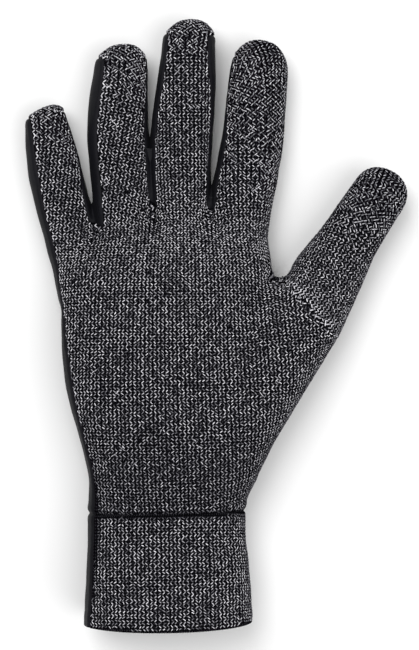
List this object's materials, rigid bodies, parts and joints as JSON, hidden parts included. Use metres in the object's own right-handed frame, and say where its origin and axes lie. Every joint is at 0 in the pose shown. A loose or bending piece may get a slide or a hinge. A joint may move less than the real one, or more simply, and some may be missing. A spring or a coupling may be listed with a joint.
{
  "type": "diving glove",
  "caption": "Right-hand diving glove of thick neoprene with a flecked cut-resistant palm, black side panels, a set-in thumb and a short flared cuff.",
  "frame": {"origin": "middle of the glove's footprint on the floor, under its flat back", "axes": "+Y to the fingertips, +X to the thumb side, +Z out of the palm, so the back lies on the floor"},
  "size_m": [0.1564, 0.2484, 0.041],
  "materials": {
    "flecked_fabric": "matt dark grey weave with light grey flecks",
    "black_neoprene": "smooth black jersey over neoprene, soft sheen"
  },
  "bodies": {
    "root": {"palm_panel": "flecked_fabric", "back_panel": "black_neoprene", "fourchette_pinky_ring": "black_neoprene", "fourchette_ring_middle": "black_neoprene", "fourchette_middle_index": "black_neoprene", "thumb_front": "flecked_fabric", "thumb_back": "black_neoprene", "cuff_front": "flecked_fabric", "cuff_back": "black_neoprene"}
  },
  "joints": []
}
